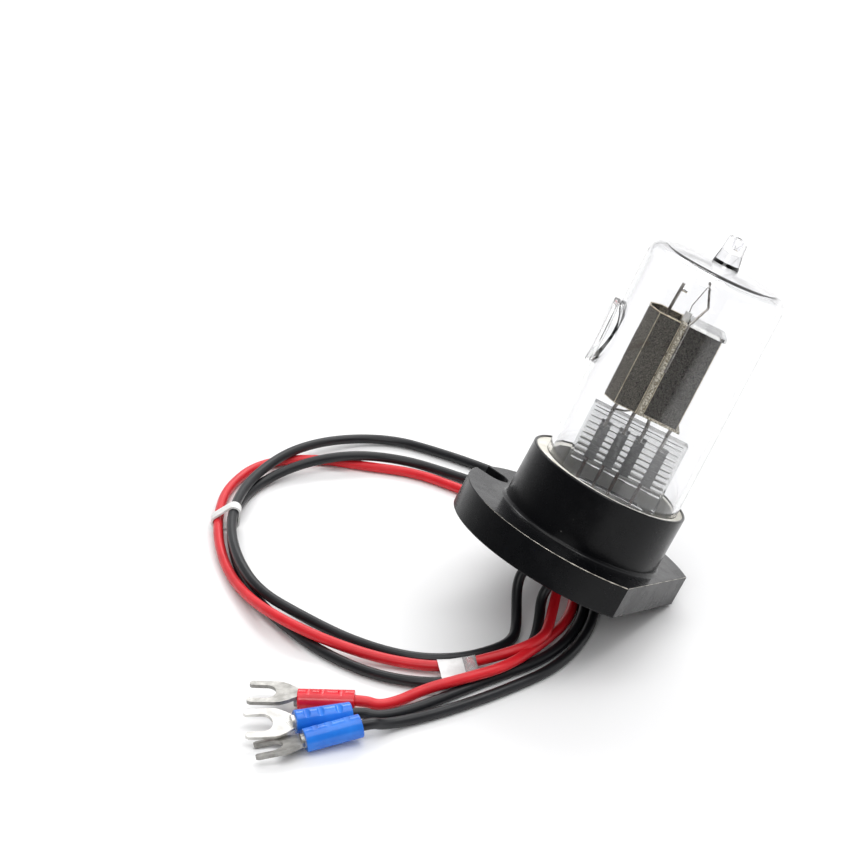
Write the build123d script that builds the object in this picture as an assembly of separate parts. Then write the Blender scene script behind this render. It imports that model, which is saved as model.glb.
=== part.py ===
from build123d import *
import math
import os

os.makedirs("parts", exist_ok=True)

# ------------------------------------------------------------------ driving dimensions (mm)
# The lamp lies as it rests: tipped over on the edge of its flange, its leads under it.
# Row frame: table at z = 0, +Z up, +X right, +Y away.
RIM = (RIM_X, RIM_Y, RIM_Z) = (-1.0, 2.63, 30.45)  # centre of the collar's mouth
BASE_AXIS = (0.4542, 0.2056, 0.8669)  # the base's own axis, towards the bulb
BASE_SIDE = (0.8842, -0.2236, -0.4102)  # the base's +u, 23.1 degrees from the flat's normal
BULB_AXIS = (0.4304, 0.2124, 0.8773)  # the bulb stands 1.6 degrees off the base's axis
BULB_SIDE = (0.8967, -0.2119, -0.3886)
BULB_OFFSET = 0.62  # and this far off its centre, along +u

COLLAR_R = 17.66
COLLAR_BORE_R = 17.1
COLLAR_H = 13.1
FLANGE_R = 26.4
FLANGE_T = 6.9
FLAT_DISTANCE = 20.2  # from the axis to the flange's flat
FLAT_ANGLE = -23.1
NOTCH_ANGLE = FLAT_ANGLE + 180.0
NOTCH_W = 6.1
NOTCH_REACH = 19.7  # how near the axis the notch's round end comes
BORE_DEPTH = 10.0
CAVITY_R = 13.0
FLOOR_T = 3.0
WIRE_HOLE_R = 4.5
FOOT_FILLET = 0.8

CEMENT_TOP = -0.3
CEMENT_BOTTOM = -7.8

BULB_R = 15.25
BULB_WALL = 1.0
BULB_TOP = 49.3  # where the shoulder ends
BULB_APEX = 50.2
BULB_BOTTOM = -8.0
SHOULDER_R = 3.2
PORT_W = 27.4  # height of the side window's centre above the mouth
PORT_R = 6.9
PORT_WALL = 1.15
WINDOW_R = 7.1
WINDOW_OUT = 16.75  # the window's outer face, from the bulb's axis
WINDOW_T = 1.35
TIP_TOP = 56.3

PINCH_W = 21.4
PINCH_T = 4.0
PINCH_TOP = 13.4
PINCH_BOTTOM = -2.4
RIB_PITCH = 1.3
RIB_H = 0.35
FOIL_U = (-6.5, -2.4, 1.4, 6.5)
FOIL_W = 2.3
FOIL_T = 0.1
FOIL_LOW, FOIL_HIGH = 1.3, 10.5
LEAD_R = 0.4

SHEET = 0.3
BOX_LOW, BOX_HIGH = 16.3, 36.5
HALF_DEPTH = 5.4
SEAM_HALF_DEPTH = 6.3
FRONT_U = (-2.8, -7.4, -9.7)  # seam, start of the cut corner, outer wall
REAR_U = (-1.35, 6.3)

WIRE_D = 2.25
WIRE_HOLES = {"A": (-1.6, -0.9), "B": (0.9, -1.6), "R": (1.0, 1.5)}  # in the base's bottom

SLEEVE_L = 11.4
RED_SLEEVE_D = 4.2
BLUE_SLEEVE_D = 4.7
FORK_T = 0.8
STUD_SLOT = 4.3  # width of the fork's slot, for an M4 stud

# Routes of the three leads: straight runs between these points, rounded where they meet.
# The first point lies on the base's bottom face, the last one inside the terminal's sleeve.
ROUTES = {
    "A": [
        (-11.60, -1.98, 14.02), (-13.05, -2.64, 11.25), (-14.96, -3.86, 8.55), (-17.74, -6.43, 5.43), (-20.12, -9.87, 2.95),
        (-21.65, -13.90, 1.41), (-25.31, -18.18, 1.15), (-32.62, -21.17, 1.15), (-42.60, -20.66, 1.17), (-54.37, -14.65, 1.15),
        (-64.82, -6.66, 1.79), (-75.11, 1.13, 3.43), (-80.51, 13.11, 4.14), (-83.11, 26.05, 4.30), (-82.45, 39.08, 4.22),
        (-78.70, 51.67, 3.56), (-71.17, 62.43, 3.69), (-60.56, 70.67, 2.07), (-47.37, 72.08, 1.15), (-35.86, 65.39, 1.15),
        (-25.14, 57.80, 1.15), (-15.42, 49.28, 1.15), (-8.59, 37.99, 1.15), (-4.09, 25.70, 1.15), (-1.68, 12.76, 1.15),
        (-2.85, -0.15, 1.15), (-6.02, -13.03, 1.15), (-12.84, -24.19, 1.15), (-23.83, -32.03, 1.15), (-32.07, -36.95, 1.15),
        (-38.56, -40.29, 1.16), (-44.31, -42.73, 1.37), (-47.97, -44.72, 2.22), (-49.94, -46.05, 3.58), (-53.35, -47.17, 3.27),
    ],
    "B": [
        (-9.46, -3.21, 13.20), (-10.92, -3.87, 10.42), (-13.19, -5.42, 8.38), (-15.96, -8.54, 5.67), (-17.46, -12.54, 3.13),
        (-17.93, -16.74, 1.23), (-20.72, -21.47, 1.15), (-26.86, -26.63, 1.29), (-36.08, -30.47, 1.55), (-48.47, -27.44, 1.15),
        (-59.22, -19.97, 1.15), (-67.62, -10.66, 1.15), (-74.83, -0.23, 1.15), (-79.84, 11.37, 1.15), (-82.70, 23.64, 1.81),
        (-83.47, 36.37, 1.75), (-79.89, 48.90, 1.15), (-69.98, 56.61, 2.83), (-57.50, 59.83, 3.91), (-44.72, 60.31, 2.21),
        (-33.45, 55.15, 1.15), (-22.84, 47.75, 1.16), (-14.37, 38.53, 1.16), (-8.95, 26.96, 1.15), (-5.34, 14.78, 1.15),
        (-4.92, 2.16, 1.15), (-7.60, -10.44, 1.15), (-14.68, -21.04, 1.15), (-25.88, -27.72, 1.15), (-33.69, -32.97, 1.15),
        (-39.82, -37.07, 1.15), (-45.43, -39.95, 1.15), (-49.43, -41.13, 1.55), (-52.03, -40.82, 2.36), (-55.48, -41.85, 2.43),
    ],
    "R": [
        (-9.03, -0.28, 12.28), (-10.49, -0.93, 9.50), (-11.47, -2.72, 7.30), (-12.45, -7.15, 5.59), (-13.56, -12.43, 4.67),
        (-14.81, -17.46, 4.50), (-18.53, -21.14, 4.42), (-26.08, -22.49, 2.47), (-35.54, -24.81, 1.60), (-47.51, -21.81, 1.44),
        (-59.58, -17.20, 2.95), (-69.97, -11.00, 4.51), (-77.14, -0.15, 2.45), (-82.35, 11.35, 1.31), (-85.60, 23.54, 1.70),
        (-86.66, 36.06, 1.92), (-85.44, 48.99, 1.38), (-78.92, 60.36, 1.15), (-66.40, 62.86, 1.15), (-53.88, 58.94, 1.15),
        (-41.78, 55.75, 1.15), (-31.58, 48.40, 1.15), (-21.76, 40.33, 1.15), (-14.81, 29.87, 1.15), (-10.13, 18.14, 1.16),
        (-6.95, 5.63, 1.15), (-9.00, -6.32, 1.16), (-15.27, -17.68, 2.84), (-23.08, -27.55, 3.82), (-32.01, -31.28, 3.52),
        (-39.33, -33.10, 2.39), (-44.86, -35.67, 1.16), (-48.82, -37.08, 1.16), (-51.30, -36.84, 2.15), (-54.89, -36.68, 2.15),
    ],
}

# Terminals: middle of the sleeve's mouth, unit direction towards the fork's tips, roll in degrees
# (plus: the near edge lower), how far the fork's plate lies off the sleeve's axis, the
# fork's own small turn in its plane, and the sleeve's diameter.
TERMINALS = {
    "R": ("red", (-53.40, -36.75, 2.15), (-0.9990, 0.0448, 0.0), 0.0, 1.25, 0.0, RED_SLEEVE_D),
    "B": ("blue_1", (-54.05, -41.42, 2.40), (-0.9570, -0.2883, 0.0330), 15.0, -0.20, -8.0, BLUE_SLEEVE_D),
    "A": ("blue_2", (-51.93, -46.70, 3.40), (-0.9469, -0.3094, -0.0853), -13.0, -0.10, -8.0, BLUE_SLEEVE_D),
}
MOUTH = 1.5  # how far a lead goes into its sleeve

base_plane = Plane(origin=RIM, x_dir=BASE_SIDE, z_dir=BASE_AXIS)
bulb_origin = tuple(RIM[i] + BULB_OFFSET * BASE_SIDE[i] for i in range(3))
bulb_plane = Plane(origin=bulb_origin, x_dir=BULB_SIDE, z_dir=BULB_AXIS)


def in_base(shape):
    return shape.moved(base_plane.location)


def in_bulb(shape):
    return shape.moved(bulb_plane.location)


def tube_z(r, low, high, u=0.0, v=0.0):
    """An upright round bar from low to high."""
    return Pos(u, v, (low + high) / 2) * Cylinder(r, high - low)


def block(u0, u1, v0, v1, w0, w1):
    return Pos((u0 + u1) / 2, (v0 + v1) / 2, (w0 + w1) / 2) * Box(u1 - u0, v1 - v0, w1 - w0)


def bent_rod(points, r, bend):
    """A round rod along straight runs with tangent bends."""
    path = FilletPolyline(*points, radius=bend) if len(points) > 2 else Line(*points)
    start = Plane(origin=points[0], z_dir=(path % 0))
    return sweep(start * Circle(r), path=path)


def one(shape, name):
    solids = shape.solids()
    if len(solids) != 1:
        print("NOTE", name, "has", len(solids), "solids", [round(s.volume, 3) for s in solids])
    return solids[0] if len(solids) == 1 else max(solids, key=lambda s: s.volume)


nodes = {}

# ------------------------------------------------------------------ base: collar and flange, one turned piece
flange = tube_z(FLANGE_R, -COLLAR_H - FLANGE_T, -COLLAR_H)
cut = Rot(0, 0, FLAT_ANGLE) * Pos(FLAT_DISTANCE + 10, 0, -COLLAR_H - FLANGE_T / 2) * Box(20, 80, 20)
flange = flange - cut
notch_c = NOTCH_REACH + NOTCH_W / 2
notch = Pos(notch_c, 0, 0) * Cylinder(NOTCH_W / 2, 20) + Pos(notch_c + 10, 0, 0) * Box(20, NOTCH_W, 20)
notch = Rot(0, 0, NOTCH_ANGLE) * Pos(0, 0, -COLLAR_H - FLANGE_T / 2) * notch
flange = flange - notch
flange = chamfer(
    flange.edges().filter_by(lambda e: abs(e.center().Z + COLLAR_H) < 1e-6 or abs(e.center().Z + COLLAR_H + FLANGE_T) < 1e-6),
    0.15,
)
collar = tube_z(COLLAR_R, -COLLAR_H - 1, 0)
base = flange + collar
foot = base.edges().filter_by(GeomType.CIRCLE).filter_by(
    lambda e: abs(e.radius - COLLAR_R) < 1e-4 and abs(e.center().Z + COLLAR_H) < 1e-4
)
base = fillet(foot, FOOT_FILLET)
base = chamfer(
    base.edges().filter_by(GeomType.CIRCLE).filter_by(lambda e: abs(e.center().Z) < 1e-4), 0.2
)
base = base - tube_z(COLLAR_BORE_R, -BORE_DEPTH, 1)
base = base - tube_z(CAVITY_R, -COLLAR_H - FLANGE_T + FLOOR_T, -BORE_DEPTH + 1)
base = base - tube_z(WIRE_HOLE_R, -COLLAR_H - FLANGE_T - 1, -COLLAR_H)
base = one(base, "base")
nodes["base"] = in_base(base)

# ------------------------------------------------------------------ potting plug that holds the three leads in the base's hole
FLANGE_LOW = -COLLAR_H - FLANGE_T
plug = tube_z(WIRE_HOLE_R, FLANGE_LOW, FLANGE_LOW + FLOOR_T) + tube_z(7.0, FLANGE_LOW + FLOOR_T, FLANGE_LOW + FLOOR_T + 1.2)
for u, v in WIRE_HOLES.values():
    plug = plug - tube_z(WIRE_D / 2, FLANGE_LOW - 1, FLANGE_LOW + FLOOR_T + 3, u, v)
nodes["potting_plug"] = in_base(one(plug, "plug"))

# ------------------------------------------------------------------ glass envelope: blown as one piece with its port and its sealed tip
def envelope_section(r, top, apex, low, shoulder):
    """The half section of a closed bulb: straight wall, round shoulder, almost flat crown."""
    p0, p1 = (0, low), (r, low)
    p2 = (r, top - shoulder)
    p3 = (r - shoulder, top)
    mid = (r - shoulder * (1 - math.sin(math.radians(45))), top - shoulder * (1 - math.cos(math.radians(45))))
    a, rise = r - shoulder, apex - top
    ball = (a * a + rise * rise) / (2 * rise)  # the crown is part of a ball about a point on the axis
    crown_mid = (a / 2, apex - ball + math.sqrt(ball * ball - a * a / 4))
    wire = Wire([
        Line(p0, p1).edge(),
        Line(p1, p2).edge(),
        ThreePointArc(p2, mid, p3).edge(),
        ThreePointArc(p3, crown_mid, (0, apex)).edge(),
        Line((0, apex), p0).edge(),
    ])
    return Plane.XZ * make_face(wire)


outer = revolve(envelope_section(BULB_R, BULB_TOP, BULB_APEX, BULB_BOTTOM, SHOULDER_R), Axis.Z)
inner = revolve(
    envelope_section(BULB_R - BULB_WALL, BULB_TOP - BULB_WALL, BULB_APEX - BULB_WALL, BULB_BOTTOM - 1, SHOULDER_R - BULB_WALL), Axis.Z
)
PORT_END = -(WINDOW_OUT - WINDOW_T)


def along_u(r, u0, u1):
    return Pos((u0 + u1) / 2, 0, PORT_W) * Rot(0, 90, 0) * Cylinder(r, u1 - u0)


outer = outer + along_u(PORT_R, PORT_END, -11)
tip = Pos(0.3, 0, 0) * (
    Pos(0, 0, 49.9 + 1.6) * Cone(2.95, 2.35, 3.2) + Pos(0, 0, 53.1 + 1.6) * Cone(2.35, 2.05, 3.2)
)
tip = tip - Pos(3.2, 0.3, 57.3) * Rot(0, 32, 12) * Box(6, 9, 4) - Pos(-2.9, -0.6, 57.1) * Rot(0, -38, -16) * Box(6, 9, 3.4)
tip = tip - Pos(0.2, 2.9, 57.0) * Rot(-34, 0, 8) * Box(9, 4, 3.2) - Pos(0.3, -3.4, 57.6) * Rot(28, 0, -14) * Box(9, 4, 4)
tip = tip - Pos(0.5, -0.1, 55.2) * Cone(0.55, 1.15, 3.0)
outer = outer + tip
envelope = outer - inner - along_u(PORT_R - PORT_WALL, PORT_END - 1, -10)
nodes["glass_envelope"] = in_bulb(one(envelope, "envelope"))

# ------------------------------------------------------------------ flat window disc, fused on the end of the port
nodes["side_window"] = in_bulb(one(fillet((along_u(WINDOW_R, -WINDOW_OUT, PORT_END)).edges(), 0.3), "window"))

# ------------------------------------------------------------------ pressed stem: flared foot, hollow neck and flat pinch with its press ribs
count = int((PINCH_TOP - 1.0 - 0.6) / RIB_PITCH)
half = PINCH_T / 2
right = [(half, PINCH_BOTTOM)]
pinch = block(-PINCH_W / 2, PINCH_W / 2, -half, half, PINCH_BOTTOM, PINCH_TOP)
for side in (-1, 1):
    for i in range(count):
        w = 1.5 + i * RIB_PITCH
        rib = Pos(0, side * (half - 0.25), w) * Rot(0, 90, 0) * Cylinder(0.25 + RIB_H, PINCH_W - 1.2)
        pinch = pinch + rib
neck = loft([
    Pos(0, 0, PINCH_BOTTOM) * RectangleRounded(PINCH_W, PINCH_T, 1.6),
    Pos(0, 0, -7.0) * Circle(9.6),
])
stem = pinch + neck + tube_z(BULB_R - BULB_WALL - 0.05, -8.0, -7.0) + tube_z(BULB_R, -9.0, -8.0)
hollow = loft([
    Pos(0, 0, PINCH_BOTTOM - 0.6) * RectangleRounded(PINCH_W - 4.5, 2.3, 1.1),
    Pos(0, 0, -9.0) * Circle(8.2),
])
stem = stem - hollow
LEAD_TARGET = {0: (-3.0, -0.9), 1: (-2.0, -0.9), 2: (0.05, -1.6), 3: (0.15, 1.5)}
LEAD_U_OUT = (-6.9, -3.1, 0.4, 5.5)
outer_leads, inner_leads, foils = [], [], []
for i, u in enumerate(FOIL_U):
    foils.append(block(u - FOIL_W / 2, u + FOIL_W / 2, -FOIL_T / 2, FOIL_T / 2, FOIL_LOW, FOIL_HIGH))
    tu, tv = LEAD_TARGET[i]
    uo = LEAD_U_OUT[i]
    outer_leads.append(
        bent_rod([(uo, -LEAD_R - FOIL_T / 2, 2.1), (uo, -LEAD_R - FOIL_T / 2, -4.0), (tu, tv, -9.2), (tu, tv, -10.8)], LEAD_R, 0.7)
    )
INNER_ENDS = ((-6.6, -6.4, 15.6), (-2.4, -2.35, 15.6), (1.2, 1.0, 23.2), (5.8, 6.0, 15.7))
for i, u in enumerate(FOIL_U):
    lower, upper, top = INNER_ENDS[i]
    v = -LEAD_R - FOIL_T / 2
    inner_leads.append(
        bent_rod([(lower, v, 9.6), (lower, v, 13.8), (upper, v, 15.0), (upper, v, top)], LEAD_R, 0.5)
    )
for piece in foils + outer_leads + inner_leads:
    stem = stem - piece
nodes["pressed_stem"] = in_bulb(one(stem, "stem"))
for i in range(4):
    nodes[f"seal_foil_{i + 1}"] = in_bulb(one(foils[i], "foil"))
    nodes[f"outer_lead_{i + 1}"] = in_bulb(one(outer_leads[i], "outer lead"))
    nodes[f"inner_lead_{i + 1}"] = in_bulb(one(inner_leads[i], "inner lead"))

# ------------------------------------------------------------------ cement ring between bulb and collar
cement = in_base(tube_z(COLLAR_BORE_R, CEMENT_BOTTOM, CEMENT_TOP)) - in_bulb(tube_z(BULB_R, -9, 5))
nodes["cement_ring"] = one(cement, "cement")

# ------------------------------------------------------------------ crimps inside the base, each with the insulated tail that meets its lead
for name, key in (("crimp_black_1", "A"), ("crimp_black_2", "B"), ("crimp_red", "R")):
    u, v = WIRE_HOLES[key]
    body = tube_z(1.2, -14.6, -11.0, u, v) + tube_z(WIRE_D / 2, FLANGE_LOW, -14.6, u, v)
    nodes[name] = in_base(one(body, name))

# ------------------------------------------------------------------ electrode system
u_seam, u_corner, u_wall = FRONT_U


def half_octagon(inset):
    return make_face(Polyline(
        (u_seam, -HALF_DEPTH + inset), (u_corner + inset * 0.45, -HALF_DEPTH + inset), (u_wall + inset, -1.9 + inset * 0.4),
        (u_wall + inset, 1.9 - inset * 0.4), (u_corner + inset * 0.45, HALF_DEPTH - inset), (u_seam, HALF_DEPTH - inset), close=True))


def slab(face, low, high):
    return Pos(0, 0, low) * extrude(face, high - low, dir=(0, 0, 1))


front = slab(half_octagon(0), 15.8, BOX_HIGH) - slab(half_octagon(SHEET), 15, BOX_HIGH + 1)
for side in (-1, 1):
    front = front + block(u_seam, u_seam + SHEET, min(side * (HALF_DEPTH - SHEET), side * SEAM_HALF_DEPTH), max(side * (HALF_DEPTH - SHEET), side * SEAM_HALF_DEPTH), 15.8, BOX_HIGH)
# exit opening in the wall that faces the side window
front = front - Pos(u_wall, 0, PORT_W) * Box(2, 2.6, 7.0)
nodes["front_shield"] = in_bulb(one(front, "front shield"))
ROD_BASE, ROD_TOP = (-5.75, 2.0, 35.05), (-5.35, 2.0, 43.0)
lid = slab(half_octagon(SHEET), 35.05, 35.35) - tube_z(0.4, 34, 36, ROD_BASE[0], ROD_BASE[1])
nodes["front_lid"] = in_bulb(one(lid, "front lid"))
floor = slab(half_octagon(SHEET), 15.8, 16.1) - tube_z(0.22, 15, 17, -6.4, 2.2) 
nodes["front_floor"] = in_bulb(one(floor, "front floor"))

aperture = block(-2.5, -2.2, -SEAM_HALF_DEPTH, SEAM_HALF_DEPTH, 15.8, BOX_HIGH + 0.1) - Pos(-2.35, 0, PORT_W) * Rot(0, 90, 0) * Cylinder(0.6, 2)
nodes["aperture_plate"] = in_bulb(one(aperture, "aperture plate"))
spacer = block(-2.2, REAR_U[0], -SEAM_HALF_DEPTH, SEAM_HALF_DEPTH, 15.8, BOX_HIGH + 0.1) - block(-3, 0, -3.2, 3.2, PORT_W - 5.5, PORT_W + 5.5)
nodes["insulator_plate"] = in_bulb(one(spacer, "insulator plate"))

u0, u1 = REAR_U
rear = block(u0, u1, -HALF_DEPTH, HALF_DEPTH, BOX_LOW, BOX_HIGH) - block(u0 - 1, u1 - SHEET, -HALF_DEPTH + SHEET, HALF_DEPTH - SHEET, BOX_LOW - 1, BOX_HIGH + 1)
for side in (-1, 1):
    rear = rear + block(u0, u0 + SHEET, min(side * (HALF_DEPTH - SHEET), side * SEAM_HALF_DEPTH), max(side * (HALF_DEPTH - SHEET), side * SEAM_HALF_DEPTH), BOX_LOW, BOX_HIGH)
nodes["rear_shield"] = in_bulb(one(rear, "rear shield"))
bottom_plate = block(u0, 7.1, -5.9, 5.9, 15.85, BOX_LOW) - tube_z(0.9, 15, 17, 1.0, -LEAD_R - FOIL_T / 2)
nodes["rear_bottom_plate"] = in_bulb(one(bottom_plate, "bottom plate"))
top_plate = block(-0.9, 7.1, -5.5, 5.6, BOX_HIGH, BOX_HIGH + 0.75)
top_plate = chamfer(top_plate.edges().filter_by(Axis.Z), 0.5)
nodes["rear_top_plate"] = in_bulb(one(top_plate, "top plate"))
anode = block(0.5, 0.5 + 0.35, -3.1, 2.4, 23.2, 31.6)
anode = fillet(anode.edges().filter_by(Axis.X), 1.0)
nodes["anode"] = in_bulb(one(anode, "anode"))

# cathode: a coated coil on two legs, out of the beam's way
coil_r, wire_r, pitch, turns = 0.85, 0.2, 1.0, 8
helix = Helix(pitch=pitch, height=pitch * turns, radius=coil_r, center=(-6.4, 2.2, 23.4))
coil = sweep(Plane(origin=helix @ 0, z_dir=helix % 0) * Circle(wire_r), path=helix, is_frenet=True)
nodes["cathode_coil"] = in_bulb(one(coil, "coil"))
leg_low = tube_z(wire_r, 15.0, 23.4 - 0.45, -6.4 + 0.0, 2.2)
nodes["cathode_leg"] = in_bulb(one(leg_low, "leg"))

# getter post on the front lid
rod = bent_rod([ROD_BASE, ROD_TOP], 0.35, 1)
getter = Pos(-4.55, 2.0, 41.75) * Rot(0, 90, 0) * Cylinder(0.42, 1.1)
nodes["getter_post"] = in_bulb(one(rod, "rod"))
nodes["getter"] = in_bulb(one(getter - rod, "getter"))

# igniter wire welded along the seam, bent up over the top plate
V_WIRE = -SEAM_HALF_DEPTH - 0.25
wire_a = bent_rod([(-1.2, V_WIRE, 26.1), (-1.2, V_WIRE, 36.9), (0.95, -3.3, 41.2), (-0.8, -3.0, 45.2), (-1.15, -3.0, 46.6)], 0.25, 0.6)
nodes["igniter_wire"] = in_bulb(one(wire_a, "igniter wire"))
bead = tube_z(0.75, BOX_HIGH + 0.1, 38.6, -1.95, -1.6)
nodes["ceramic_bead"] = in_bulb(one(bead, "bead"))
fine = bent_rod([(-1.95, -1.6, 38.6), (-2.1, -2.0, 40.2), (-0.95, -2.95, 45.35)], 0.1, 0.5) - wire_a
nodes["fine_wire"] = in_bulb(one(fine, "fine wire"))
link = bent_rod([(-6.3, -LEAD_R - FOIL_T / 2, 13.75), (-4.4, -0.9, 14.3), (-2.35, -0.9, 15.6)], 0.2, 0.6)
for lead in (inner_leads[0], inner_leads[1]):
    link = link - lead
nodes["link_wire"] = in_bulb(one(link, "link wire"))

# ------------------------------------------------------------------ the three leads
def unit(v):
    length = math.sqrt(sum(c * c for c in v))
    return tuple(c / length for c in v)


def bend_radii(points):
    """Radius of each bend: the arc takes 0.45 of the shorter run beside it."""
    radii = []
    for p, q, r in zip(points, points[1:], points[2:]):
        a, b = Vector(*q) - Vector(*p), Vector(*r) - Vector(*q)
        turn = math.radians(a.get_angle(b))
        radii.append(0.45 * min(a.length, b.length) / math.tan(turn / 2))
    return radii


terminal_mouths = {}
for key, (colour, mouth, direction, roll, offset, turn, size) in TERMINALS.items():
    d = unit(direction)
    terminal_mouths[key] = (mouth, d)

wire_lengths = {}
for key, colour in (("A", "black_1"), ("B", "black_2"), ("R", "red")):
    points = list(ROUTES[key])
    u, v = WIRE_HOLES[key]
    start = base_plane.from_local_coords((u, v, FLANGE_LOW))
    second = base_plane.from_local_coords((u, v, FLANGE_LOW - 3.2))
    points[0], points[1] = tuple(start), tuple(second)
    mouth, d = terminal_mouths[key]
    points[-1] = tuple(mouth[i] + d[i] * (MOUTH - 0.01) for i in range(3))
    points[-2] = tuple(points[-1][i] - d[i] * 3.6 for i in range(3))
    radii = bend_radii(points)
    path = FilletPolyline(*points, radius=radii)
    lead = sweep(Plane(origin=points[0], z_dir=tuple(-c for c in BASE_AXIS)) * Circle(WIRE_D / 2), path=path)
    lead = one(lead, "lead " + key)
    wire_lengths[key] = path.length
    print("lead", colour, "length", round(path.length, 1), "volume over section times length",
          round(lead.volume / (math.pi * WIRE_D ** 2 / 4 * path.length), 4), "radii", [round(r, 1) for r in radii])
    nodes[f"lead_{colour}"] = lead

# ------------------------------------------------------------------ crimped fork terminals with their insulating sleeves
for key, (colour, mouth, direction, roll, offset, turn, size) in TERMINALS.items():
    d = Vector(*unit(direction))
    side = d.cross(Vector(0, 0, 1)).normalized()
    if side.Y > 0:
        side = side * -1
    up = Vector(0, 0, 1) - d * d.Z
    up = up.normalized()
    up = up * math.cos(math.radians(roll)) + side * math.sin(math.radians(roll))
    plane = Plane(origin=mouth, x_dir=d, z_dir=up)

    def along_x(r, x0, x1):
        return Pos((x0 + x1) / 2, 0, 0) * Rot(0, 90, 0) * Cylinder(r, x1 - x0)

    R = size / 2
    sleeve = along_x(R, 0, SLEEVE_L)
    sleeve = fillet(sleeve.edges().filter_by(GeomType.CIRCLE), 0.2)
    for x in (2.6, 6.3, 9.1):
        for sign in (-1, 1):
            dent = Pos(x, 0, sign * (R + 0.75)) * Rot(90, 0, 0) * Cylinder(1.05, 2 * R + 1)
            sleeve = sleeve - dent
    sleeve = sleeve - along_x(1.3, -1, MOUTH) - along_x(1.5, MOUTH - 0.001, SLEEVE_L + 1)
    nodes[f"sleeve_{colour}"] = one(sleeve, "sleeve").moved(plane.location)

    barrel = along_x(1.5, MOUTH, SLEEVE_L + 0.7)
    outline = make_face(Polyline(
        (SLEEVE_L, -1.5), (13.0, -2.6), (14.6, -3.4), (15.6, -3.55), (20.6, -3.55), (21.2, -3.1), (21.2, -2.5), (20.8, -STUD_SLOT / 2),
        (20.8, STUD_SLOT / 2), (21.2, 2.5), (21.2, 3.1), (20.6, 3.55), (15.6, 3.55), (14.6, 3.4), (13.0, 2.6), (SLEEVE_L, 1.5), close=True))
    plate = Pos(0, 0, offset - FORK_T / 2) * extrude(outline, FORK_T, dir=(0, 0, 1))
    slot_x = 15.6 + STUD_SLOT / 2
    plate = plate - Pos(slot_x, 0, offset) * Cylinder(STUD_SLOT / 2, 3) - Pos(slot_x + 5, 0, offset) * Box(10, STUD_SLOT, 3)
    plate = Pos(SLEEVE_L, 0, 0) * Rot(0, 0, turn) * Pos(-SLEEVE_L, 0, 0) * plate
    plate = plate - Pos(SLEEVE_L / 2, 0, 0) * Box(SLEEVE_L, 20, 20)
    fork = barrel + plate
    nodes[f"fork_{colour}"] = one(fork, "fork").moved(plane.location)

# ------------------------------------------------------------------ tie strap around the three leads, and the label sleeve around two
def ring_section(plane, centres, r_in, r_out):
    """A strap's section: the hull of circles about the leads, less the same hull inside."""
    local = [plane.to_local_coords(Vector(*c)) for c in centres]
    faces = []
    for r in (r_out, r_in):
        edges = [e for c in local for e in (Pos(c.X, c.Y) * Circle(r)).edges()]
        faces.append(make_hull(edges))
    return faces


TIE_AT = [(-86.328, 33.049, 1.841), (-82.749, 33.121, 4.256), (-83.144, 33.078, 1.75)]
tie_plane = Plane(origin=(-84.1, 33.07, 2.4), x_dir=(0.9998, 0.0221, 0), z_dir=(-0.0221, 0.9998, 0))
out_face, in_face = ring_section(tie_plane, TIE_AT, WIRE_D / 2 + 0.12, WIRE_D / 2 + 0.57)
tie = Pos(0, 0, -1.25) * (extrude(out_face, 2.5, dir=(0, 0, 1))) - Pos(0, 0, -2) * extrude(in_face, 4, dir=(0, 0, 1))
nodes["tie_strap"] = one(tie, "tie").moved(tie_plane.location)

LABEL_NORMAL = (-0.9886, -0.1506, 0)
LABEL_AT = [  # the red lead and the second black one at three stations along the label
    ((-37.013, -24.199, 1.619), (-36.168, -29.742, 1.482)),
    ((-34.430, -24.230, 1.753), (-33.657, -29.300, 1.466)),
    ((-31.900, -23.895, 1.938), (-31.208, -28.441, 1.413)),
]


def label_body(r):
    faces = []
    for red, black in LABEL_AT:
        plane = Plane(origin=red, x_dir=(-0.1506, 0.9886, 0), z_dir=LABEL_NORMAL)
        local = [plane.to_local_coords(Vector(*c)) for c in (red, black)]
        hull = make_hull([e for c in local for e in (Pos(c.X, c.Y) * Circle(r)).edges()])
        faces.append(plane * hull)
    return [loft([faces[0], faces[1]]), loft([faces[1], faces[2]])]


outer_halves, inner_halves = label_body(WIRE_D / 2 + 0.25), label_body(WIRE_D / 2 + 0.13)
label = (outer_halves[0] - inner_halves[0]) + (outer_halves[1] - inner_halves[1])
tab = make_face(Polyline((-36.8, -29.9), (-34.0, -29.7), (-35.9, -32.0), (-39.6, -32.1), close=True))
label = label + Pos(0, 0, 0.14) * extrude(tab, 0.12, dir=(0, 0, 1))
nodes["label_sleeve"] = one(label, "label")

if __name__ == "__main__":
    for name, shape in nodes.items():
        export_step(shape, f"parts/{name}.step")
    boxes = [s.bounding_box() for s in nodes.values()]
    lo = [min(getattr(b.min, a) for b in boxes) for a in "XYZ"]
    hi = [max(getattr(b.max, a) for b in boxes) for a in "XYZ"]
    print("lamp box", [round(x, 3) for x in lo], [round(x, 3) for x in hi])
    print("centre", [round((lo[i] + hi[i]) / 2, 3) for i in range(3)])
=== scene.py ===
import math

import bpy
from mathutils import Matrix, Vector


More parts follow.
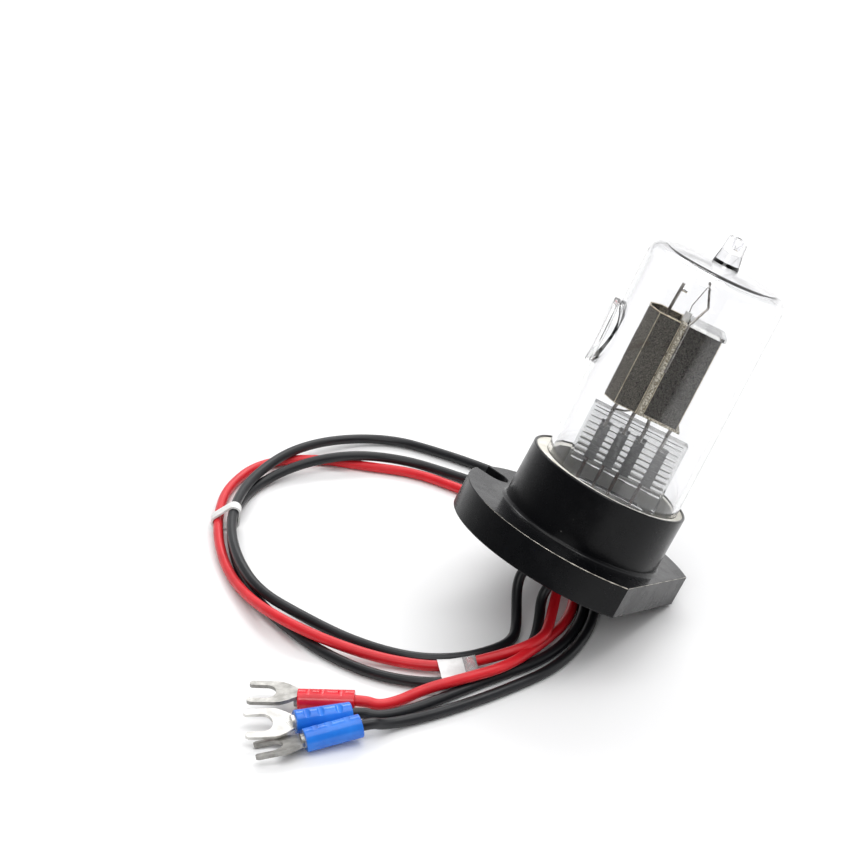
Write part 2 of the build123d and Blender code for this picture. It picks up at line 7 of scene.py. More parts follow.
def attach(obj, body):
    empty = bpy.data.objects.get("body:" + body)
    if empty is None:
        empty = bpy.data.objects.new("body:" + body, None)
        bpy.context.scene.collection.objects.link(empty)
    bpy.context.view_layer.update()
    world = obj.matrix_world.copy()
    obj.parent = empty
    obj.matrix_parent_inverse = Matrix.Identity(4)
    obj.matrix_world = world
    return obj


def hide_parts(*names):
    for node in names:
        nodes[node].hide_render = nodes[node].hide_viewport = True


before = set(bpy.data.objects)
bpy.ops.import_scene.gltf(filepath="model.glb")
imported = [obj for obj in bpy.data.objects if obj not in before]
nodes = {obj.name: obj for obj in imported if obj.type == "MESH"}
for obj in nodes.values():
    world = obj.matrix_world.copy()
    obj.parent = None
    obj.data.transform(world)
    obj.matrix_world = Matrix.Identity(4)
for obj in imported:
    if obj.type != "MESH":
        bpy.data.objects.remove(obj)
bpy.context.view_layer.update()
scene = bpy.context.scene

# ------------------------------------------------------------------ the lamp's own axes, in the row frame (metres)
RIM = Vector((-0.0010, 0.00263, 0.03045))
BASE_AXIS = Vector((0.4542, 0.2056, 0.8669)).normalized()
BASE_U = Vector((0.8842, -0.2236, -0.4102)).normalized()
BASE_V = BASE_AXIS.cross(BASE_U)
BULB_AXIS = Vector((0.4304, 0.2124, 0.8773)).normalized()
BULB_U = Vector((0.8967, -0.2119, -0.3886)).normalized()
BULB_V = BULB_AXIS.cross(BULB_U)
BULB_ORIGIN = RIM + BASE_U * 0.00062


def bulb_matrix():
    m = Matrix.Identity(4)
    for i, a in enumerate((BULB_U, BULB_V, BULB_AXIS)):
        for j in range(3):
            m[j][i] = a[j]
    m.translation = BULB_ORIGIN
    return m


def base_matrix():
    m = Matrix.Identity(4)
    for i, a in enumerate((BASE_U, BASE_V, BASE_AXIS)):
        for j in range(3):
            m[j][i] = a[j]
    m.translation = RIM
    return m


# ------------------------------------------------------------------ materials
def new_material(name):
    m = bpy.data.materials.new(name)
    m.use_nodes = True
    nt = m.node_tree
    return m, nt, nt.nodes["Principled BSDF"], nt.links


def tex_coord(nt, scale=(1, 1, 1), rotation=(0, 0, 0)):
    tc = nt.nodes.new("ShaderNodeTexCoord")
    mp = nt.nodes.new("ShaderNodeMapping")
    mp.inputs["Scale"].default_value = scale
    mp.inputs["Rotation"].default_value = rotation
    nt.links.new(tc.outputs["Object"], mp.inputs["Vector"])
    return mp.outputs["Vector"]


def noise(nt, vec, scale, detail=4.0, rough=0.55, distortion=0.0):
    n = nt.nodes.new("ShaderNodeTexNoise")
    n.inputs["Scale"].default_value = scale
    n.inputs["Detail"].default_value = detail
    n.inputs["Roughness"].default_value = rough
    n.inputs["Distortion"].default_value = distortion
    nt.links.new(vec, n.inputs["Vector"])
    return n.outputs["Fac"]


def ramp(nt, fac, stops):
    r = nt.nodes.new("ShaderNodeValToRGB")
    el = r.color_ramp.elements
    while len(el) < len(stops):
        el.new(0.5)
    for e, (p, c) in zip(el, stops):
        e.position = p
        e.color = tuple(c) + (1.0,) if len(c) == 3 else c
    nt.links.new(fac, r.inputs["Fac"])
    return r.outputs["Color"]


def map_range(nt, fac, a, b, lo=0.0, hi=1.0):
    n = nt.nodes.new("ShaderNodeMapRange")
    n.inputs["From Min"].default_value = lo
    n.inputs["From Max"].default_value = hi
    n.inputs["To Min"].default_value = a
    n.inputs["To Max"].default_value = b
    nt.links.new(fac, n.inputs["Value"])
    return n.outputs["Result"]


def bump(nt, height, bsdf, strength=0.2, distance=0.0002, normal=None):
    b = nt.nodes.new("ShaderNodeBump")
    b.inputs["Strength"].default_value = strength
    b.inputs["Distance"].default_value = distance
    nt.links.new(height, b.inputs["Height"])
    if normal is not None:
        nt.links.new(normal, b.inputs["Normal"])
    nt.links.new(b.outputs["Normal"], bsdf.inputs["Normal"])
    return b.outputs["Normal"]


def surface(name, dark, light, rough=(0.3, 0.4), metallic=0.0, scale=400.0, stretch=(1, 1, 1), bump_strength=0.1,
            bump_scale=None, distance=0.0001, spread=(0.35, 0.65), **sockets):
    m, nt, b, links = new_material(name)
    v = tex_coord(nt, stretch)
    f = noise(nt, v, scale)
    links.new(ramp(nt, f, [(spread[0], dark), (spread[1], light)]), b.inputs["Base Color"])
    links.new(map_range(nt, noise(nt, v, scale * 0.37), rough[0], rough[1], 0.3, 0.7), b.inputs["Roughness"])
    b.inputs["Metallic"].default_value = metallic
    if bump_strength:
        bump(nt, noise(nt, v, bump_scale or scale * 2.5, 3.0), b, bump_strength, distance)
    for k, val in sockets.items():
        b.inputs[k].default_value = val
    return m


# black base: satin black with a fine skin, faint handling marks and a few specks of dust
black, nt, b, links = new_material("base_black")
v = tex_coord(nt)
f = noise(nt, v, 90, 5.0)
dust = nt.nodes.new("ShaderNodeTexVoronoi")
dust.inputs["Scale"].default_value = 260.0
dust.inputs["Randomness"].default_value = 1.0
links.new(v, dust.inputs["Vector"])
speck = ramp(nt, dust.outputs["Distance"], [(0.045, (1, 1, 1)), (0.075, (0, 0, 0))])
sparse = ramp(nt, noise(nt, v, 60, 2.0), [(0.56, (0, 0, 0)), (0.60, (1, 1, 1))])
both = nt.nodes.new("ShaderNodeMix")
both.data_type = "RGBA"
both.blend_type = "MULTIPLY"
both.inputs["Factor"].default_value = 1.0
links.new(speck, both.inputs["A"])
links.new(sparse, both.inputs["B"])
tint = nt.nodes.new("ShaderNodeMix")
tint.data_type = "RGBA"
links.new(both.outputs["Result"], tint.inputs["Factor"])
links.new(ramp(nt, f, [(0.3, (0.0022, 0.0024, 0.003)), (0.7, (0.0044, 0.0046, 0.0054))]), tint.inputs["A"])
tint.inputs["B"].default_value = (0.34, 0.33, 0.31, 1)
links.new(tint.outputs["Result"], b.inputs["Base Color"])
links.new(map_range(nt, noise(nt, v, 120, 6.0, 0.7), 0.16, 0.36, 0.3, 0.7), b.inputs["Roughness"])
b.inputs["Specular IOR Level"].default_value = 0.2
bump(nt, noise(nt, v, 900, 3.0), b, 0.06, 0.0001)

cement = surface("cement", (0.80, 0.77, 0.68), (0.95, 0.93, 0.87), rough=(0.75, 0.9), scale=260, bump_strength=0.5, bump_scale=700, distance=0.0003)

# clear glass; a Layer Weight ramp darkens its colour towards grazing angles, a painted shade along the outlines
def glass(name, rough=0.0, tint=(1, 1, 1), ior=1.48, wavy=0.0, wave_scale=60, distance=0.001, edge=0.6):
    m, nt, b, links = new_material(name)
    facing = nt.nodes.new("ShaderNodeLayerWeight")
    facing.inputs["Blend"].default_value = 0.5
    mid = tuple(c * (1 - 0.25 * (1 - edge)) for c in tint)
    painted_rim_shade = tuple(c * edge for c in tint)
    # painted shade: the glass colour runs from the clear tint facing the view to darker towards the outline
    links.new(ramp(nt, facing.outputs["Facing"], [(0.45, tint), (0.80, mid), (0.95, painted_rim_shade)]), b.inputs["Base Color"])
    b.inputs["Transmission Weight"].default_value = 1.0
    b.inputs["IOR"].default_value = ior
    v = tex_coord(nt)
    if rough:
        links.new(map_range(nt, noise(nt, v, 300, 3.0), rough * 0.5, rough, 0.35, 0.65), b.inputs["Roughness"])
    else:
        b.inputs["Roughness"].default_value = 0.0
    if wavy:
        bump(nt, noise(nt, v, wave_scale, 1.5), b, wavy, distance)
    return m


# edge sets how dark the painted shade at the glass outlines is
clear = glass("bulb_glass", tint=(0.962, 0.963, 0.970), wavy=0.05, wave_scale=45, edge=0.70)
window_glass = glass("window_glass", tint=(0.96, 0.965, 0.965), wavy=0.04, wave_scale=90, edge=0.45)
stem_glass = glass("stem_glass", tint=(0.965, 0.97, 0.968), wavy=0.35, wave_scale=420, distance=0.0003, edge=0.7)
stem_glass.node_tree.nodes["Principled BSDF"].inputs["Transmission Weight"].default_value = 0.86
mica = glass("mica", rough=0.08, tint=(0.9, 0.9, 0.87), ior=1.56, wavy=0.08, wave_scale=300)

# nickel sheet of the boxes: brushed along the bulb's axis, heat-stained brown in places
def nickel(name, dark, light, stain, rough=(0.26, 0.42), stain_at=(0.52, 0.75)):
    m, nt, b, links = new_material(name)
    rot = BULB_AXIS.to_track_quat("Z", "Y").inverted().to_euler()
    v = tex_coord(nt, (1.0, 1.0, 1.0))
    g = tex_coord(nt, (1.0, 1.0, 0.12), tuple(rot))
    grain = noise(nt, g, 2600, 3.0, 0.6)
    spots = noise(nt, v, 3800, 4.0, 0.75)
    mix = nt.nodes.new("ShaderNodeMix")
    mix.data_type = "RGBA"
    links.new(ramp(nt, noise(nt, v, 130, 4.0, 0.6, 0.4), [(stain_at[0], (0, 0, 0)), (stain_at[1], (1, 1, 1))]), mix.inputs["Factor"])
    links.new(ramp(nt, spots, [(0.34, dark), (0.66, light)]), mix.inputs["A"])
    mix.inputs["B"].default_value = stain + (1.0,)
    links.new(mix.outputs["Result"], b.inputs["Base Color"])
    b.inputs["Metallic"].default_value = 1.0
    links.new(map_range(nt, grain, rough[0], rough[1], 0.3, 0.7), b.inputs["Roughness"])
    bump(nt, grain, b, 0.22, 0.00005)
    return m


front_metal = nickel("front_box_nickel", (0.055, 0.050, 0.044), (0.38, 0.355, 0.31), (0.13, 0.10, 0.075), rough=(0.26, 0.42))
rear_metal = nickel("rear_box_nickel", (0.04, 0.037, 0.033), (0.28, 0.265, 0.24), (0.10, 0.085, 0.065), rough=(0.24, 0.4), stain_at=(0.66, 0.9))
lid_metal = nickel("lid_nickel", (0.22, 0.18, 0.13), (0.42, 0.36, 0.27), (0.30, 0.2, 0.1))
seam_metal = nickel("seam_nickel", (0.42, 0.38, 0.28), (0.75, 0.69, 0.55), (0.5, 0.4, 0.25), rough=(0.3, 0.5))
wire_metal = surface("lead_nickel", (0.26, 0.24, 0.22), (0.5, 0.48, 0.45), rough=(0.22, 0.4), metallic=1.0, scale=900)
foil_metal = surface("foil", (0.24, 0.24, 0.245), (0.42, 0.42, 0.425), rough=(0.35, 0.55), metallic=0.15, scale=1200, bump_strength=0.25)
oxide = surface("oxidised_wire", (0.10, 0.03, 0.018), (0.24, 0.095, 0.055), rough=(0.4, 0.6), metallic=0.6, scale=700)
ceramic_beige = surface("insulator", (0.34, 0.29, 0.19), (0.97, 0.92, 0.80), rough=(0.4, 0.6), scale=2600, bump_strength=0.5, spread=(0.42, 0.58))
ceramic_white = surface("white_ceramic", (0.8, 0.8, 0.78), (0.95, 0.95, 0.94), rough=(0.3, 0.45), scale=900)
coil_metal = surface("coil", (0.55, 0.54, 0.5), (0.85, 0.84, 0.8), rough=(0.5, 0.7), metallic=0.2, scale=1500)
getter_metal = surface("getter", (0.62, 0.62, 0.62), (0.9, 0.9, 0.9), rough=(0.12, 0.25), metallic=1.0, scale=900)
potting = surface("potting", (0.006, 0.006, 0.007), (0.016, 0.016, 0.017), rough=(0.5, 0.7), scale=500, bump_strength=0.4)

# wire insulation: satin, with a fine noise in colour and roughness and a light bump
def insulation(name, dark, light, rough=(0.32, 0.46), **sockets):
    return surface(name, dark, light, rough=rough, scale=170, bump_strength=0.12, bump_scale=600, distance=0.00015, spread=(0.3, 0.7), **sockets)


black_skin = insulation("black_insulation", (0.0055, 0.006, 0.0075), (0.013, 0.014, 0.0165), rough=(0.32, 0.46))
black_skin.node_tree.nodes["Principled BSDF"].inputs["Specular IOR Level"].default_value = 0.4
red_skin = insulation("red_insulation", (0.60, 0.006, 0.014), (0.74, 0.014, 0.024), rough=(0.32, 0.46))
red_skin.node_tree.nodes["Principled BSDF"].inputs["Subsurface Weight"].default_value = 0.08
red_skin.node_tree.nodes["Principled BSDF"].inputs["Subsurface Radius"].default_value = (0.002, 0.0004, 0.0004)

red_vinyl = surface("red_vinyl", (0.66, 0.008, 0.018), (0.80, 0.018, 0.034), rough=(0.16, 0.26), scale=150, bump_strength=0.15, bump_scale=260, distance=0.0003)
blue_vinyl = surface("blue_vinyl", (0.008, 0.125, 0.60), (0.018, 0.20, 0.76), rough=(0.16, 0.26), scale=150, bump_strength=0.15, bump_scale=260, distance=0.0003)
# bright strip material for the flange's edges: a painted highlight
painted_highlight_edge = surface("painted_highlight_edge", (0.30, 0.28, 0.24), (0.85, 0.80, 0.70), rough=(0.25, 0.4), metallic=0.5, scale=700)
# bright nickel for the strips along the shields' folded edges: painted highlights
edge_highlight_metal = surface("edge_highlight_nickel", (0.55, 0.48, 0.34), (0.95, 0.86, 0.66), rough=(0.25, 0.45), metallic=0.7, scale=1500, bump_strength=0.4)
# two copies of one tinned copper for the forks: a darker one for the red and second blue forks (painted shade), a
# brighter one for the first blue fork (painted highlight)
tin_painted_shade = surface("tinned_copper", (0.24, 0.235, 0.22), (0.42, 0.41, 0.39), rough=(0.28, 0.48), metallic=1.0, scale=420, bump_strength=0.3, bump_scale=900, distance=0.00014)
tin_painted_highlight = surface("tinned_copper_painted_highlight", (0.56, 0.55, 0.525), (0.76, 0.75, 0.72), rough=(0.24, 0.4), metallic=0.9, scale=420, bump_strength=0.22, bump_scale=900, distance=0.00012)
white_strap = surface("white_strap", (0.72, 0.72, 0.70), (0.86, 0.86, 0.85), rough=(0.4, 0.55), scale=600, bump_strength=0.3, bump_scale=1200, distance=0.0002)
label_film = surface("label_film", (0.60, 0.585, 0.58), (0.80, 0.79, 0.785), rough=(0.22, 0.4), scale=240, bump_strength=0.5, bump_scale=420, distance=0.0004)
film, nt, b, links = new_material("clear_film")
v = tex_coord(nt)
links.new(ramp(nt, noise(nt, v, 500), [(0.3, (0.86, 0.86, 0.86)), (0.7, (0.95, 0.95, 0.95))]), b.inputs["Base Color"])
links.new(map_range(nt, noise(nt, v, 300), 0.12, 0.3, 0.3, 0.7), b.inputs["Roughness"])
b.inputs["Transmission Weight"].default_value = 0.75
b.inputs["IOR"].default_value = 1.3
bump(nt, noise(nt, v, 500), b, 0.4, 0.0003)

by_node = {
    "base": black, "potting_plug": potting, "cement_ring": cement, "glass_envelope": clear, "side_window": window_glass,
    "pressed_stem": stem_glass, "front_shield": front_metal, "front_floor": front_metal, "front_lid": lid_metal,
    "aperture_plate": seam_metal, "insulator_plate": ceramic_beige, "rear_shield": rear_metal, "rear_bottom_plate": ceramic_beige,
    "rear_top_plate": mica, "anode": wire_metal, "cathode_coil": coil_metal, "cathode_leg": wire_metal, "getter_post": wire_metal,
    "getter": getter_metal, "igniter_wire": wire_metal, "ceramic_bead": ceramic_white, "fine_wire": wire_metal, "link_wire": wire_metal,
    "crimp_black_1": black_skin, "crimp_black_2": black_skin, "crimp_red": red_skin,
    "sleeve_red": red_vinyl, "sleeve_blue_1": blue_vinyl, "sleeve_blue_2": blue_vinyl,
    "fork_red": tin_painted_shade, "fork_blue_1": tin_painted_highlight, "fork_blue_2": tin_painted_shade, "tie_strap": white_strap, "label_sleeve": label_film,
    "lead_black_1": black_skin, "lead_black_2": black_skin, "lead_red": red_skin,
}
for i in range(1, 5):
    by_node[f"seal_foil_{i}"] = foil_metal
    by_node[f"outer_lead_{i}"] = oxide
    by_node[f"inner_lead_{i}"] = wire_metal
for name, obj in nodes.items():
    m = by_node[name]
    if not obj.material_slots:
        obj.data.materials.append(m)
    for s in obj.material_slots:
        s.material = m

# ------------------------------------------------------------------ the three leads
# Routes from the base's bottom to the terminals, in metres.
ROUTES = {
    "A": [
        (-0.01160, -0.00198, 0.01402), (-0.01340, -0.00220, 0.01220), (-0.01620, -0.00160, 0.01170), (-0.01900, -0.00160, 0.01040),
        (-0.02015, -0.00340, 0.00760), (-0.02030, -0.00670, 0.00440), (-0.02040, -0.01030, 0.00200), (-0.02120, -0.01370, 0.00115),
        (-0.02460, -0.01740, 0.00115),
        (-0.03262, -0.02097, 0.00115),
        (-0.04260, -0.02066, 0.00117), (-0.05437, -0.01465, 0.00115), (-0.06482, -0.00666, 0.00179), (-0.07511, 0.00113, 0.00343),
        (-0.08051, 0.01311, 0.00414), (-0.08311, 0.02605, 0.00430), (-0.08245, 0.03908, 0.00422), (-0.07870, 0.05167, 0.00356),
        (-0.07117, 0.06243, 0.00369), (-0.06056, 0.07067, 0.00207), (-0.04737, 0.07208, 0.00115), (-0.03586, 0.06539, 0.00115),
        (-0.02514, 0.05780, 0.00115), (-0.01542, 0.04928, 0.00115), (-0.00859, 0.03799, 0.00115), (-0.00409, 0.02570, 0.00115),
        (-0.00168, 0.01276, 0.00115), (-0.00285, -0.00015, 0.00115), (-0.00602, -0.01303, 0.00115), (-0.01284, -0.02419, 0.00115),
        (-0.02383, -0.03203, 0.00115), (-0.03207, -0.03695, 0.00115), (-0.03856, -0.04029, 0.00116), (-0.04431, -0.04273, 0.00137),
        (-0.04797, -0.04472, 0.00222), (-0.04993, -0.04605, 0.00358), (-0.05334, -0.04716, 0.00327),
    ],
    "B": [
        (-0.00946, -0.00321, 0.01320), (-0.01092, -0.00387, 0.01042), (-0.01370, -0.00460, 0.00850), (-0.01520, -0.00610, 0.00600),
        (-0.01560, -0.00950, 0.00340), (-0.01650, -0.01350, 0.00140), (-0.01840, -0.01800, 0.00115), (-0.02140, -0.02220, 0.00115),
        (-0.02686, -0.02663, 0.00129),
        (-0.03608, -0.03047, 0.00155), (-0.04847, -0.02744, 0.00115), (-0.05922, -0.01997, 0.00115), (-0.06762, -0.01066, 0.00115),
        (-0.07483, -0.00023, 0.00115), (-0.07984, 0.01137, 0.00115), (-0.08270, 0.02364, 0.00181), (-0.08347, 0.03637, 0.00175),
        (-0.07989, 0.04890, 0.00115), (-0.06998, 0.05661, 0.00283), (-0.05750, 0.05983, 0.00391), (-0.04472, 0.06031, 0.00221),
        (-0.03345, 0.05515, 0.00115), (-0.02284, 0.04775, 0.00116), (-0.01437, 0.03853, 0.00116), (-0.00895, 0.02696, 0.00115),
        (-0.00534, 0.01478, 0.00115), (-0.00492, 0.00216, 0.00115), (-0.00760, -0.01044, 0.00115), (-0.01468, -0.02104, 0.00115),
        (-0.02588, -0.02772, 0.00115), (-0.03369, -0.03297, 0.00115), (-0.03982, -0.03707, 0.00115), (-0.04543, -0.03995, 0.00115),
        (-0.04943, -0.04113, 0.00155), (-0.05203, -0.04081, 0.00233), (-0.05548, -0.04185, 0.00245),
    ],
    "R": [
        (-0.00904, -0.00028, 0.01228), (-0.01049, -0.00093, 0.00950), (-0.01147, -0.00272, 0.00730), (-0.01245, -0.00715, 0.00559),
        (-0.01356, -0.01243, 0.00467), (-0.01481, -0.01746, 0.00450), (-0.01853, -0.02114, 0.00442), (-0.02608, -0.02249, 0.00247),
        (-0.03554, -0.02481, 0.00160), (-0.04751, -0.02181, 0.00144), (-0.05958, -0.01720, 0.00295), (-0.06997, -0.01100, 0.00451),
        (-0.07714, -0.00015, 0.00245), (-0.08235, 0.01135, 0.00131), (-0.08560, 0.02354, 0.00170), (-0.08666, 0.03606, 0.00192),
        (-0.08544, 0.04899, 0.00138), (-0.07892, 0.06036, 0.00115), (-0.06640, 0.06286, 0.00115), (-0.05388, 0.05894, 0.00115),
        (-0.04178, 0.05575, 0.00115), (-0.03158, 0.04840, 0.00115), (-0.02176, 0.04033, 0.00115), (-0.01481, 0.02987, 0.00115),
        (-0.01013, 0.01814, 0.00116), (-0.00695, 0.00563, 0.00115), (-0.00900, -0.00632, 0.00116), (-0.01527, -0.01768, 0.00284),
        (-0.02308, -0.02755, 0.00382), (-0.03201, -0.03128, 0.00352), (-0.03933, -0.03310, 0.00239), (-0.04486, -0.03567, 0.00116),
        (-0.04882, -0.03708, 0.00116), (-0.05129, -0.03684, 0.00215), (-0.05489, -0.03668, 0.00215),
    ],
}

LEADS = {"A": ("lead_black_1", 0.3393, black_skin, "blue_2"), "B": ("lead_black_2", 0.3310, black_skin, "blue_1"), "R": ("lead_red", 0.3299, red_skin, "red")}
for key, (node, length, m, end) in LEADS.items():
    curve = bpy.data.curves.new(node + "_line", "CURVE")
    curve.dimensions = "3D"
    curve.bevel_depth = 0.001125
    curve.bevel_resolution = 7
    curve.resolution_u = 14
    curve.use_fill_caps = True
    spline = curve.splines.new("NURBS")
    points = ROUTES[key]
    spline.points.add(len(points) - 1)
    for p, q in zip(spline.points, points):
        p.co = (*q, 1.0)
    spline.order_u = 3
    spline.use_endpoint_u = True
    curve.materials.append(m)
    obj = bpy.data.objects.new("cord_" + node, curve)
    scene.collection.objects.link(obj)
    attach(obj, "root")
    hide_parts(node)

# ------------------------------------------------------------------ painted highlights: bright strips along the shields' folded edges, and a beige insulator strip at the rear box's foot
def bulb_point(u, v, w):
    return BULB_ORIGIN + (BULB_U * u + BULB_V * v + BULB_AXIS * w) * 0.001


def base_point(u, v, w):
    return RIM + (BASE_U * u + BASE_V * v + BASE_AXIS * w) * 0.001


def edge_strip(name, points, radius, material):
    curve = bpy.data.curves.new(name, "CURVE")
    curve.dimensions = "3D"
    curve.bevel_depth = radius * 0.001
    curve.bevel_resolution = 3
    curve.use_fill_caps = True
    spline = curve.splines.new("POLY")
    spline.points.add(len(points) - 1)
    for p, q in zip(spline.points, points):
        p.co = (*bulb_point(*q), 1.0)
    curve.materials.append(material)
    obj = bpy.data.objects.new(name, curve)
    scene.collection.objects.link(obj)
    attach(obj, "root")
    return obj


def rim_strip(name, points, radii, material):
    curve = bpy.data.curves.new(name, "CURVE")
    curve.dimensions = "3D"
    curve.bevel_depth = 0.001
    curve.bevel_resolution = 3
    curve.use_fill_caps = True
    spline = curve.splines.new("POLY")
    spline.points.add(len(points) - 1)
    for p, q, r in zip(spline.points, points, radii):
        p.co = (*q, 1.0)
        p.radius = r
    curve.materials.append(material)
    obj = bpy.data.objects.new(name, curve)
    scene.collection.objects.link(obj)
    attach(obj, "root")
    return obj


# the flange's front edge: a bright strip along it, a painted highlight
angles = [math.radians(-63.6 - 0.9 * i) for i in range(90)]
rim_strip("flange_front_edge", [base_point(26.36 * math.cos(a), 26.36 * math.sin(a), -13.13) for a in angles],
          [0.085 * (1 - i / 90) ** 0.8 * (0.75 + 0.25 * math.sin(i * 0.9)) + 0.012 for i in range(90)], painted_highlight_edge)
# the edge of the D-flat gets the same painted highlight strip
flat = math.radians(-23.1)
corner = []
for i in range(25):
    t = -16.8 + 33.6 * i / 24
    corner.append(base_point(20.17 * math.cos(flat) - t * math.sin(flat), 20.17 * math.sin(flat) + t * math.cos(flat), -13.13))
rim_strip("flange_flat_edge", corner, [0.035 + 0.012 * math.sin(i * 1.7) for i in range(25)], painted_highlight_edge)

# painted highlights: bright strips on the folded edges and seams of the boxes
edge_strip("edge_front_top", [(-2.8, -5.38, 36.5), (-7.4, -5.38, 36.5), (-9.68, -1.9, 36.5), (-9.68, 1.9, 36.5), (-7.4, 5.38, 36.5), (-2.8, 5.38, 36.5)], 0.13, edge_highlight_metal)
edge_strip("edge_front_corner", [(-7.4, -5.38, 15.9), (-7.4, -5.38, 36.4)], 0.09, edge_highlight_metal)
edge_strip("edge_front_corner_back", [(-7.4, 5.38, 15.9), (-7.4, 5.38, 36.4)], 0.09, edge_highlight_metal)
edge_strip("edge_front_foot", [(-2.8, -5.38, 15.8), (-7.4, -5.38, 15.8), (-9.68, -1.9, 15.8)], 0.08, edge_highlight_metal)
edge_strip("edge_seam_left", [(-2.72, -6.3, 15.9), (-2.72, -6.3, 36.5)], 0.10, edge_highlight_metal)
edge_strip("edge_seam_right", [(-1.2, -6.3, 16.3), (-1.2, -6.3, 25.9)], 0.10, edge_highlight_metal)
edge_strip("edge_rear_foot", [(-1.2, -5.92, 16.0), (7.1, -5.92, 16.0)], 0.22, ceramic_beige)
edge_strip("edge_rear_side", [(6.28, -5.38, 16.4), (6.28, -5.38, 36.4)], 0.07, edge_highlight_metal)

# ------------------------------------------------------------------ cement bed under the bulb, inside the base
bed = bpy.data.meshes.new("cement_bed")
rings, spokes = 10, 96
verts, faces = [], []
for side, w in ((0, -9.5), (1, -9.95)):
    verts.append(tuple(base_point(0, 0, w)))
    for i in range(1, rings + 1):
        for j in range(spokes):
            a = 2 * math.pi * j / spokes
            r = 16.9 * i / rings
            lift = 0.0 if side or i == rings else 0.12 * math.sin(3 * a + i) * math.sin(i * 1.7)
            verts.append(tuple(base_point(r * math.cos(a), r * math.sin(a), w + lift)))
layer = 1 + rings * spokes
for side in (0, 1):
    o = side * layer
    for j in range(spokes):
        k = (j + 1) % spokes
        tri = (o, o + 1 + j, o + 1 + k)
        faces.append(tri if not side else tri[::-1])
        for i in range(rings - 1):
            q = (o + 1 + i * spokes + j, o + 1 + (i + 1) * spokes + j, o + 1 + (i + 1) * spokes + k, o + 1 + i * spokes + k)
            faces.append(q if not side else q[::-1])
for j in range(spokes):
    k = (j + 1) % spokes
    e = 1 + (rings - 1) * spokes
    faces.append((e + k, e + j, layer + e + j, layer + e + k))
bed.from_pydata(verts, [], faces)
bed.polygons.foreach_set("use_smooth", [True] * len(bed.polygons))
bed.materials.append(cement)
bed_piece = bpy.data.objects.new("cement_bed", bed)
scene.collection.objects.link(bed_piece)
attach(bed_piece, "root")

# ------------------------------------------------------------------ clear end of the label's film, round the same two leads
stations = [((-0.03195, -0.02390, 0.00194), (-0.03126, -0.02844, 0.00141)), ((-0.03060, -0.02365, 0.00200), (-0.02998, -0.02790, 0.00138)),
            ((-0.02925, -0.02330, 0.00208), (-0.02870, -0.02725, 0.00135))]
verts, faces, around = [], [], 32
for (c1, c2), r in zip(stations, (0.00136, 0.00138, 0.00142)):
    c1, c2 = Vector(c1), Vector(c2)
    across = (c1 - c2).normalized()
    along = Vector((-0.9886, -0.1506, 0.0))
    up = along.cross(across).normalized()
    for j in range(around):
        a = 2 * math.pi * (j + 0.5) / around
        d = across * math.cos(a) + up * math.sin(a)
        verts.append(tuple((c1 if math.cos(a) > 0 else c2) + d * r))
for i in range(2):
    for j in range(around):
        k = (j + 1) % around
        faces.append((i * around + j, i * around + k, (i + 1) * around + k, (i + 1) * around + j))
wrap = bpy.data.meshes.new("label_clear_end")
wrap.from_pydata([(x, y, max(z, 0.00012)) for x, y, z in verts], [], faces)
wrap.polygons.foreach_set("use_smooth", [True] * len(wrap.polygons))
wrap.materials.append(film)
wrap_piece = bpy.data.objects.new("label_clear_end", wrap)
scene.collection.objects.link(wrap_piece)
thick = wrap_piece.modifiers.new("thickness", "SOLIDIFY")
thick.thickness = 0.00006
thick.offset = -1.0
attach(wrap_piece, "root")

# ------------------------------------------------------------------ floor, light and camera
floor_mesh = bpy.data.meshes.new("floor")
s = 6.0
floor_mesh.from_pydata([(-s, -s, 0), (s, -s, 0), (s, s, 0), (-s, s, 0)], [], [(0, 1, 2, 3)])
floor = bpy.data.objects.new("floor", floor_mesh)
scene.collection.objects.link(floor)
floor.location.z = -0.00002
fm, nt, b, links = new_material("floor")
links.new(ramp(nt, noise(nt, tex_coord(nt), 3.0), [(0.3, (0.84, 0.84, 0.84)), (0.7, (0.86, 0.86, 0.862))]), b.inputs["Base Color"])
b.inputs["Roughness"].default_value = 0.55
b.inputs["Specular IOR Level"].default_value = 0.25
floor_mesh.materials.append(fm)

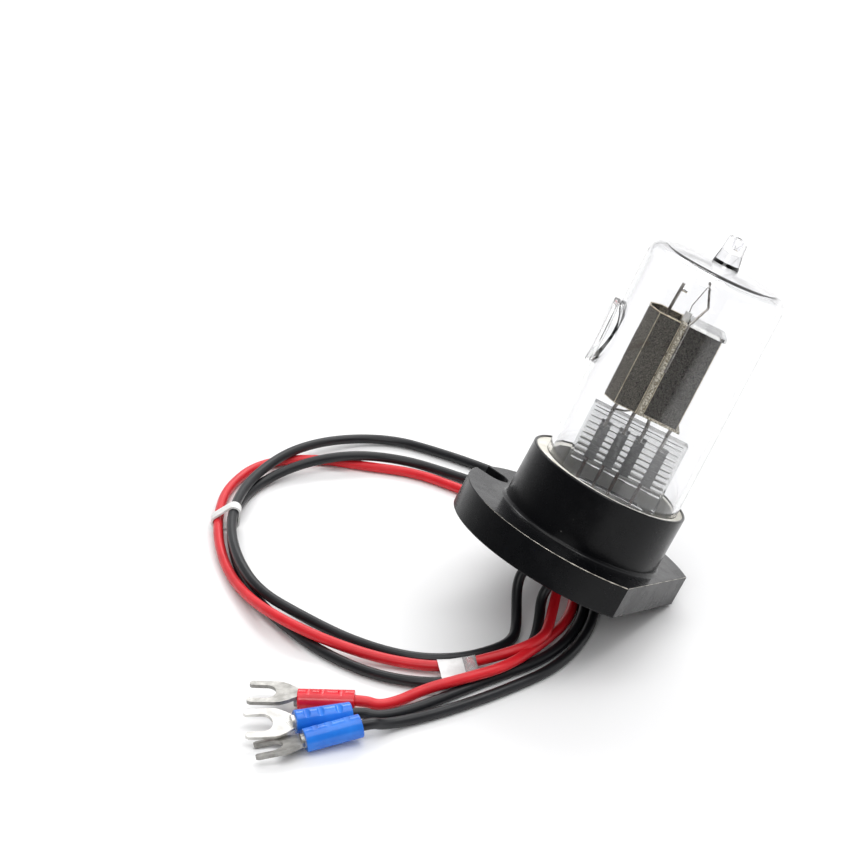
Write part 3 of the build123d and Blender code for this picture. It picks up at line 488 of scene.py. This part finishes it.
world = bpy.data.worlds.new("studio")
scene.world = world
world.use_nodes = True
wn = world.node_tree
bg = wn.nodes["Background"]
tc = wn.nodes.new("ShaderNodeTexCoord")
sep = wn.nodes.new("ShaderNodeVectorMath")
sep.operation = "DOT_PRODUCT"
sep.inputs[1].default_value = (0.42, 0.88, 0.0)
wn.links.new(tc.outputs["Generated"], sep.inputs[0])
mr = wn.nodes.new("ShaderNodeMapRange")
mr.inputs["From Min"].default_value = -1.0
mr.inputs["From Max"].default_value = 1.0
wn.links.new(sep.outputs["Value"], mr.inputs["Value"])
cr = wn.nodes.new("ShaderNodeValToRGB")
stops = [(0.0, 0.12), (0.30, 0.18), (0.50, 0.58), (0.75, 1.0)]
while len(cr.color_ramp.elements) < len(stops):
    cr.color_ramp.elements.new(0.5)
for e, (p, g) in zip(cr.color_ramp.elements, stops):
    e.position = p
    e.color = (g, g, g * 1.01, 1)
wn.links.new(mr.outputs["Result"], cr.inputs["Fac"])
wn.links.new(cr.outputs["Color"], bg.inputs["Color"])
bg.inputs["Strength"].default_value = 0.95


def area(name, place, target, size, power, colour=(1, 1, 1)):
    light = bpy.data.lights.new(name, "AREA")
    light.shape = "RECTANGLE"
    light.size, light.size_y = size
    light.energy = power
    light.color = colour
    o = bpy.data.objects.new(name, light)
    scene.collection.objects.link(o)
    o.location = place
    o.rotation_euler = (Vector(target) - Vector(place)).to_track_quat("-Z", "Y").to_euler()
    return o


area("key", (0.05, -0.12, 1.0), (0, 0, 0.02), (1.2, 0.9), 6.6)
area("front_fill", (-0.25, -0.95, 0.75), (0, 0, 0.03), (0.6, 0.4), 3.4)
area("shoulder_glint", (0.62, 0.02, 1.08), (0.02, 0.0, 0.06), (0.30, 0.07), 1.1)
area("back_strip", (0.15, 0.8, 0.8), (0, 0, 0.04), (0.8, 0.25), 4.0)

cam = bpy.data.cameras.new("camera")
cam.sensor_width = 36.0
cam.lens = 91.906
cam.clip_start = 0.01
cam.clip_end = 20.0
camera = bpy.data.objects.new("camera", cam)
scene.collection.objects.link(camera)
camera.location = (-0.03951, -0.38856, 0.25622)
camera.rotation_euler = (math.radians(61.4), 0, 0)
scene.camera = camera
scene.view_settings.view_transform = "Standard"
scene.view_settings.look = "None"
scene.view_settings.exposure = 0.0
